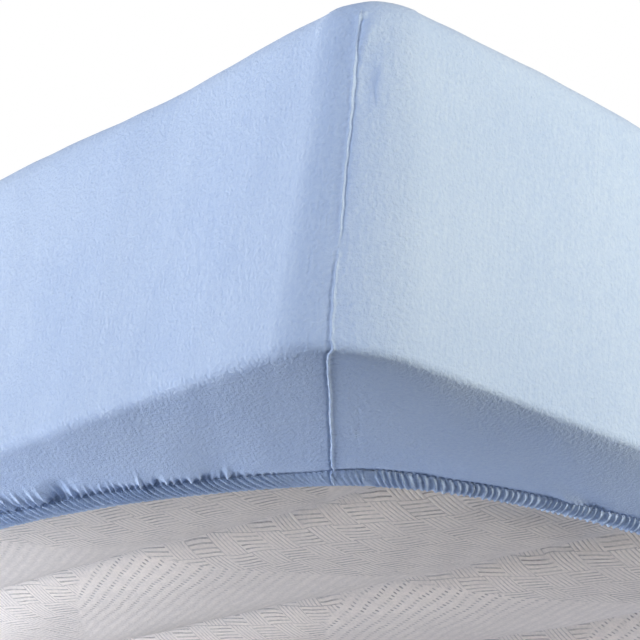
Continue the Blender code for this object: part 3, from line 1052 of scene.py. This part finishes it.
# the mattress in its ticking: a foam block, plain but for the quilting channels of its underside
mattressShape = {
    "extraRadius": 0.004,
    "firstChannel": 0.176,
    "channelPitch": 0.137,
    "channelCount": 13,
    "channelHeight": 0.0175,
    "puffHeight": 0.0036,
    "hemHeight": 0.0072,
    "tuckHeight": 0.0140,  # above the tucked cloth
    "gridX": 90,
    "gridY": 460,
    "gridInset": 0.030,
    "wander": ((0.0012, 23, 0, 1.3), (0.0008, 57, 9, 0.0)),  # the channels': depth, turns in x and y, phase
    "puffPower": 3.0,
    "puffWave": 0.0005,
    "underHem": (0.004, 0.055),  # inside the hem's line, where the puffs are held up until they are free
    "hemFade": (-0.004, 0.020),
    "tuckFade": (0.002, -0.010),
    "leastRadius": 0.012,
    "slack": 0.0006,  # how far its top lies below the cloth's plain inside
    "capSink": 0.0050,  # and how much further its hidden middle does
    "wallRows": (0.72, 0.80, 0.88, 0.955, 1.0, 1.33, 1.66, 2.0, 2.25, 2.5, 2.75, 3.0, 3.3, 3.6, 4.0),
}


def undersideHeight(x, y):
    # puffs between channels: the underside rises into a channel as a power of how near it is
    fromFoot = y + bed["halfLength"] - mattressShape["firstChannel"]
    for depth, turnsX, turnsY, phase in mattressShape["wander"]:
        fromFoot = fromFoot + depth * np.sin(x * turnsX + y * turnsY + phase)
    strip = fromFoot / mattressShape["channelPitch"]
    nearest = np.clip(np.round(strip), 0, mattressShape["channelCount"] - 1)
    away = np.clip(np.abs(strip - nearest) * 2, 0, 1)
    rise = (1 - away) ** mattressShape["puffPower"]
    low, high = mattressShape["puffHeight"], mattressShape["channelHeight"]
    waves = mattressShape["puffWave"] * np.sin(x * 31 + 40 * y) * np.sin(y * 27 + 1)
    return low + rise * (high - low) + waves * (1 - rise)


def hemInsetAround(x, y):
    # how far inside the hem's line a place on the underside is, roughly: negative under the tuck
    fromSideX = bed["halfWidth"] - np.abs(x)
    fromSideY = bed["halfLength"] - np.abs(y)
    nearLong = fromSideX - hemInset(np.maximum(fromSideY, 0.09), 2 * bed["halfLength"], "long")
    nearEnd = fromSideY - hemInset(np.maximum(fromSideX, 0.09), 2 * bed["halfWidth"], "end")
    return np.minimum(nearLong, nearEnd)


def makeMattress(finish):
    nx, ny = mattressShape["gridX"], mattressShape["gridY"]
    halfX = bed["halfWidth"] - mattressShape["gridInset"]
    halfY = bed["halfLength"] - mattressShape["gridInset"]
    gx, gy = np.meshgrid(np.linspace(-halfX, halfX, nx + 1), np.linspace(-halfY, halfY, ny + 1))
    inside = hemInsetAround(gx, gy)
    height = undersideHeight(gx, gy)
    held = mattressShape["hemHeight"]
    free = smoothStep(*mattressShape["underHem"], inside)
    height = np.maximum(height, held) * (1 - free) + height * free
    height = held + (height - held) * smoothStep(*mattressShape["hemFade"], inside)
    height = height + (mattressShape["tuckHeight"] - height) * smoothStep(*mattressShape["tuckFade"], inside)
    underside = np.stack([gx, gy, height], axis=-1).reshape(-1, 3)
    row, column = np.meshgrid(np.arange(ny), np.arange(nx), indexing="ij")
    corner = row * (nx + 1) + column
    faces = [np.stack([corner, corner + nx + 1, corner + nx + 2, corner + 1], axis=-1).reshape(-1, 4)]
    # the grid's rim, anticlockwise from above, and the rings of the wall above it
    rim = np.concatenate([
        np.arange(nx),
        nx + (nx + 1) * np.arange(ny),
        ny * (nx + 1) + np.arange(nx, 0, -1),
        (nx + 1) * np.arange(ny, 0, -1),
    ])
    rimPlace = underside[rim, :2] / (halfX, halfY)
    rings = [wallRing(rimPlace, rowPlace) for rowPlace in mattressShape["wallRows"]]
    first = len(underside)
    count = len(rim)
    for index in range(len(rings)):
        upper = first + index * count + np.arange(count)
        lower = upper + count if index < len(rings) - 1 else rim
        faces.append(np.stack([upper, lower, np.roll(lower, -1), np.roll(upper, -1)], axis=-1))
    mesh = bpy.data.meshes.new("mattress_block")
    allFaces = np.concatenate(faces)
    cap = list(range(first, first + count))
    mesh.from_pydata(np.concatenate([underside] + rings).tolist(), [], allFaces.tolist() + [cap])
    mesh.validate()
    mesh.shade_smooth()
    return addPiece("mattress_block", mesh, finish)


def pointDip(x, y):
    # the top edge's dip beside a point, from the side it is nearest to and its share of the way along it
    halfWidth, halfLength = bed["halfWidth"] - bed["topCorner"], bed["halfLength"] - bed["topCorner"]
    nearLong = bed["halfWidth"] - np.abs(x) < bed["halfLength"] - np.abs(y)
    corner = np.where(nearLong, np.where(x > 0, 0, 2), np.where(y > 0, 1, 3))
    turned = np.where(nearLong, y * np.sign(x) / halfLength, -x * np.sign(y) / halfWidth)
    return edgeDipAt(corner, np.full(len(x), True), np.clip((turned + 1) / 2, 0, 1))


def wallRing(rimPlace, rowPlace):
    # the wall's ring at a row, as each rim point pushed on to that ring's rounded rectangle
    ways = np.array([0.999999, 0.0])  # where a corner meets its sides, and neither side swells
    x, y, z, _, _ = sideWall(ways, np.full(2, rowPlace), bed["stand"], mattressShape["extraRadius"])
    halfWidth, halfLength, height = x[0], -y[1], z[1]
    level = np.clip((height - bed["tuckHeight"]) / bed["height"], 0, 1)
    radius = bed["bottomCorner"] + level * (bed["topCorner"] - bed["bottomCorner"])
    radius = max(radius - (bed["halfWidth"] - halfWidth), mattressShape["leastRadius"])
    point = rimPlace * (halfWidth, halfLength)
    reach = np.array([halfWidth - radius, halfLength - radius])
    centre = np.clip(point, -reach, reach)
    off = point - centre
    placed = centre + radius * off / np.linalg.norm(off, axis=1, keepdims=True)
    inset = bed["halfWidth"] + bed["stand"] - halfWidth
    fade = np.clip(1 - inset / bed["dipReach"], 0, 1)
    sink = (pointDip(placed[:, 0], placed[:, 1]) * fade + mattressShape["slack"]) * level ** bed["dipFade"]
    sink = sink + mattressShape["capSink"] * (fade <= 0)
    return np.column_stack([placed, height - sink])


# beige-grey knitted jacquard ticking of polyester and viscose: matt, a basket weave, dots and faint stripes
ticking = {
    "yarn": "#E6D8C8",
    "ground": "#958A80",
    "roughness": 0.9,
    "acrossCell": 22 * millimetre,
    "downCell": 19 * millimetre,
    "linePitch": 3.8 * millimetre,
    "dotRowPitch": 7.0 * millimetre,
    "dotPitch": 5.2 * millimetre,
    "leafLength": 0.55,
    "wander": 1.6 * millimetre,
    "reliefDepth": 0.9 * millimetre,
    "weaveDirections": ((1.0, 0.10, 0.0), (-0.16, 1.0, 0.0)),  # a little off square to each other
    "dotDirections": ((0.35, 0.94, 0.0), (0.94, -0.35, 0.0)),
    "boundaryMiddle": 0.60,
    "boundarySwing": 0.55,
    "plainLevel": 0.80,
    "fuzzShare": 0.55,
}


def bandScale(pitch):
    # a wave texture's bands repeat every 2 pi / (20 scale)
    return 2 * math.pi / (20 * pitch)


def jacquardTicking():
    made, shader = startMaterial("knitted jacquard ticking")
    place = addNode(made, "ShaderNodeTexCoord").outputs["Object"]
    drift = addNode(made, "ShaderNodeTexNoise", None, {"Vector": place, "Scale": 26.0, "Detail": 2.0})
    offset = addNode(made, "ShaderNodeVectorMath", {"operation": "MULTIPLY_ADD"}, {
        0: drift.outputs["Color"], 1: (4 * ticking["wander"],) * 3, 2: place,
    }).outputs[0]
    spaces = []
    for directions in (ticking["weaveDirections"], ticking["dotDirections"]):
        parts = [
            addNode(made, "ShaderNodeVectorMath", {"operation": "DOT_PRODUCT"}, {0: offset, 1: direction})
            for direction in directions
        ]
        spaces.append(addNode(made, "ShaderNodeCombineXYZ", None, {
            "X": parts[0].outputs["Value"], "Y": parts[1].outputs["Value"], "Z": 0.5,
        }).outputs[0])
    skewed, rowSpace = spaces
    cells = addNode(made, "ShaderNodeMapping", None, {
        "Vector": skewed, "Scale": (1 / ticking["acrossCell"], 1 / ticking["downCell"], 1.0),
    })
    checks = addNode(made, "ShaderNodeTexChecker", None, {"Vector": cells.outputs[0], "Scale": 1.0})
    linesDown, linesAcross, rowBands, dotBands = (
        addNode(made, "ShaderNodeTexWave", {"bands_direction": axis}, {
            "Vector": space, "Scale": bandScale(ticking[pitch]),
            "Distortion": distortion, "Detail Scale": 0.4,
        })
        for axis, space, pitch, distortion in (
            ("X", skewed, "linePitch", 0.9),
            ("Y", skewed, "linePitch", 0.9),
            ("X", rowSpace, "dotRowPitch", 0.0),
            ("Y", rowSpace, "dotPitch", 0.0),
        )
    )
    softLines = addNode(made, "ShaderNodeMapRange", None, {
        "Value": linesDown.outputs["Fac"], "To Min": 0.12,
    })
    weave = addNode(made, "ShaderNodeMix", {"data_type": "FLOAT"}, {
        0: checks.outputs["Fac"], 2: linesAcross.outputs["Fac"], 3: softLines.outputs[0],
    })
    basket = addNode(made, "ShaderNodeMapRange", None, {
        "Value": weave.outputs[0], "From Min": 0.0, "From Max": 0.42,
    })
    # rows of dots: where the bands of two slanting directions cross
    crossing = addNode(made, "ShaderNodeMath", {"operation": "MULTIPLY"}, {
        0: rowBands.outputs["Fac"], 1: dotBands.outputs["Fac"],
    })
    dots = addNode(made, "ShaderNodeMapRange", None, {
        "Value": crossing.outputs[0], "From Min": 0.58, "From Max": 0.85, "To Min": 1.0, "To Max": 0.0,
    })
    # the strip between two channels, and how far across it: weave, then dots, then stripes
    depth = addNode(made, "ShaderNodeSeparateXYZ", None, {"Vector": offset})
    strips = addNode(made, "ShaderNodeMath", {"operation": "MULTIPLY_ADD"}, {
        0: depth.outputs["Y"],
        1: 1 / mattressShape["channelPitch"],
        2: (bed["halfLength"] - mattressShape["firstChannel"]) / mattressShape["channelPitch"],
    })
    share = addNode(made, "ShaderNodeMath", {"operation": "FRACT"}, {0: strips.outputs[0]})
    strip = addNode(made, "ShaderNodeMath", {"operation": "FLOOR"}, {0: strips.outputs[0]})
    stripTurn = addNode(made, "ShaderNodeMath", {"operation": "MULTIPLY"}, {0: strip.outputs[0], 1: -1.2})
    leafTurn = addNode(made, "ShaderNodeMath", {"operation": "MULTIPLY_ADD"}, {
        0: depth.outputs["X"], 1: 2 * math.pi / ticking["leafLength"], 2: stripTurn.outputs[0],
    })
    leafPhase = addNode(made, "ShaderNodeMath", {"operation": "SUBTRACT"}, {
        0: leafTurn.outputs[0], 1: math.pi / 2,
    })
    leaf = addNode(made, "ShaderNodeMath", {"operation": "SINE"}, {0: leafPhase.outputs[0]})
    boundary = addNode(made, "ShaderNodeMath", {"operation": "MULTIPLY_ADD"}, {
        0: leaf.outputs[0], 1: ticking["boundarySwing"], 2: ticking["boundaryMiddle"],
    })
    pastBoundary = addNode(made, "ShaderNodeMath", {"operation": "SUBTRACT"}, {
        0: share.outputs[0], 1: boundary.outputs[0],
    })
    inWeave = addNode(made, "ShaderNodeMapRange", None, {
        "Value": pastBoundary.outputs[0], "From Min": -0.05, "From Max": -0.02, "To Min": 1.0, "To Max": 0.0,
    })
    inDots = addNode(made, "ShaderNodeMapRange", None, {
        "Value": share.outputs[0], "From Min": 0.30, "From Max": 0.62, "To Min": 1.0, "To Max": 0.0,
    })
    stripes = addNode(made, "ShaderNodeMapRange", None, {
        "Value": rowBands.outputs["Fac"], "To Min": 1.0, "To Max": 0.82,
    })
    dotted = addNode(made, "ShaderNodeMix", {"data_type": "FLOAT"}, {
        0: inDots.outputs[0], 2: stripes.outputs[0], 3: dots.outputs[0],
    })
    figure = addNode(made, "ShaderNodeMix", {"data_type": "FLOAT"}, {
        0: inWeave.outputs[0], 2: dotted.outputs[0], 3: basket.outputs[0],
    })
    fuzz = addNode(made, "ShaderNodeTexNoise", None, {"Vector": place, "Scale": 520.0, "Detail": 2.0})
    wear = addNode(made, "ShaderNodeTexNoise", None, {"Vector": place, "Scale": 95.0, "Detail": 2.0})
    # the figure shows unevenly, here crisp and there faint, over the yarn's own unevenness
    crispness = addNode(made, "ShaderNodeMapRange", None, {
        "Value": wear.outputs["Fac"], "From Min": 0.35, "From Max": 0.65, "To Min": 0.30, "To Max": 0.85,
    })
    faded = addNode(made, "ShaderNodeMix", {"data_type": "FLOAT"}, {
        0: crispness.outputs[0], 2: ticking["plainLevel"], 3: figure.outputs[0],
    })
    lowered = addNode(made, "ShaderNodeMath", {"operation": "SUBTRACT"}, {0: faded.outputs[0], 1: 0.30})
    level = addNode(made, "ShaderNodeMath", {"operation": "MULTIPLY_ADD", "use_clamp": True}, {
        0: fuzz.outputs["Fac"], 1: ticking["fuzzShare"], 2: lowered.outputs[0],
    })
    colour = addNode(made, "ShaderNodeMix", {"data_type": "RGBA"}, {
        "Factor": level.outputs[0], 6: toLinear(ticking["ground"]), 7: toLinear(ticking["yarn"]),
    })
    bump = addNode(made, "ShaderNodeBump", None, {
        "Height": level.outputs[0], "Strength": 0.6, "Distance": ticking["reliefDepth"],
    })
    connect(made, shader, {
        "Base Color": colour.outputs[2], "Normal": bump.outputs[0], "Roughness": ticking["roughness"],
    })
    return made


mattress = makeMattress(jacquardTicking())
say("mattress: " + str(len(mattress.data.polygons)) + " faces")

# the floor: plain, pale, and lower than the camera, at the height of a bed's frame below the part
studio = {
    "floorDrop": 0.43,
    "floorSize": 14.0,
    "floorColour": "#B0B7C4",
    "skyLight": 0.05,
}


def makeFloor():
    half = studio["floorSize"] / 2
    corners = np.array([(-half, -half, 0), (half, -half, 0), (half, half, 0), (-half, half, 0)], float)
    corners[:, 2] = -studio["floorDrop"]
    mesh = meshFrom("studio_floor", corners, np.array([[0, 1, 2, 3]]))
    return addPiece("studio_floor", mesh, plainFinish("matt white studio paint", studio["floorColour"], 0.9))


def makeSky():
    world = bpy.data.worlds.new("white studio")
    world.use_nodes = True
    # the backdrop shows white, and lights the bed less than it shows
    ray = addNode(world, "ShaderNodeLightPath")
    strength = addNode(world, "ShaderNodeMapRange", None, {
        "Value": ray.outputs["Is Camera Ray"], "To Min": studio["skyLight"], "To Max": 1.0,
    })
    connect(world, world.node_tree.nodes["Background"], {
        "Color": (1.0, 1.0, 1.0, 1.0), "Strength": strength.outputs[0],
    })
    bpy.context.scene.world = world


# each light: (name, place, what it points at, size, power, colour, spread in degrees)
lights = (
    ("right softbox", (2.9, 0.5, 0.12), (0.45, -0.5, 0.56), 1.0, 13.6, "#FFF9E6", 56),
    ("left softbox", (-2.6, -1.7, -0.05), (-0.1, -0.95, 0.25), 0.8, 8.0, "#FFF8E6", 56),
    ("front softbox", (-0.5, -3.0, -0.14), (0.20, -1.0, 0.28), 1.0, 4.7, "#E9F0FF", 56),
    ("corner softbox", (1.5, -2.8, 1.0), (0.42, -1.0, 0.12), 1.0, 3.4, "#EFF4FF", 56),
    ("low left lamp", (-0.62, -1.0, -0.22), (0.10, -0.93, 0.0), 0.18, 4.2, "#DCE8FF", 140),
    ("low right lamp", (0.55, -0.05, -0.36), (0.20, -0.55, 0.0), 0.25, 0.5, "#D0DEFF", 60),
    ("top softbox", (0.2, 0.1, 2.3), (0.0, 0.0, 0.2), 1.4, 5.0, "#FFFFFF", 70),
)


def addLight(name, place, target, size, power, colour, spread):
    lamp = bpy.data.lights.new(name, "AREA")
    lamp.spread = math.radians(spread)
    lamp.size = size
    lamp.energy = power
    lamp.color = toLinear(colour)[:3]
    holder = bpy.data.objects.new(name, lamp)
    holder.location = place
    holder.rotation_euler = (Vector(target) - Vector(place)).to_track_quat("-Z", "Y").to_euler()
    holder.visible_camera = False
    bpy.context.scene.collection.objects.link(holder)


# the camera stands low off the foot corner on the +X side and looks up at it
view = {
    "fromCorner": (0.8188, -0.6174, -0.3799),  # from the sharp corner of the underside
    "heading": 53.43,
    "upTilt": 20.95,
    "roll": 5.99,
    "lens": 131.39,
}


def makeCamera():
    heading, tilt, roll = (math.radians(view[key]) for key in ("heading", "upTilt", "roll"))
    right = Vector((math.cos(heading), math.sin(heading), 0.0))
    level = Vector((-math.sin(heading), math.cos(heading), 0.0))
    forward = level * math.cos(tilt) + Vector((0.0, 0.0, math.sin(tilt)))
    up = right.cross(forward)
    rightRolled = right * math.cos(roll) + up * math.sin(roll)
    upRolled = up * math.cos(roll) - right * math.sin(roll)
    corner = Vector((bed["halfWidth"], -bed["halfLength"], bed["underside"]))
    lens = bpy.data.cameras.new("camera")
    lens.lens = view["lens"]
    lens.sensor_width = 36.0
    lens.clip_start, lens.clip_end = 0.02, 60.0
    camera = bpy.data.objects.new("camera", lens)
    turned = Matrix((rightRolled, upRolled, -forward)).transposed().to_4x4()
    camera.matrix_world = Matrix.Translation(corner + Vector(view["fromCorner"])) @ turned
    bpy.context.scene.collection.objects.link(camera)
    bpy.context.scene.camera = camera


floor = makeFloor()
makeSky()
for lamp in lights:
    addLight(*lamp)
makeCamera()
bpy.context.scene.view_settings.view_transform = "Standard"
say("floor, lights and camera are in place")

clothPieces = hems + seams + [stitches]
for piece in [sheet, mattress] + clothPieces:
    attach(piece, "root")
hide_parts("fitted_sheet")
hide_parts("mattress")
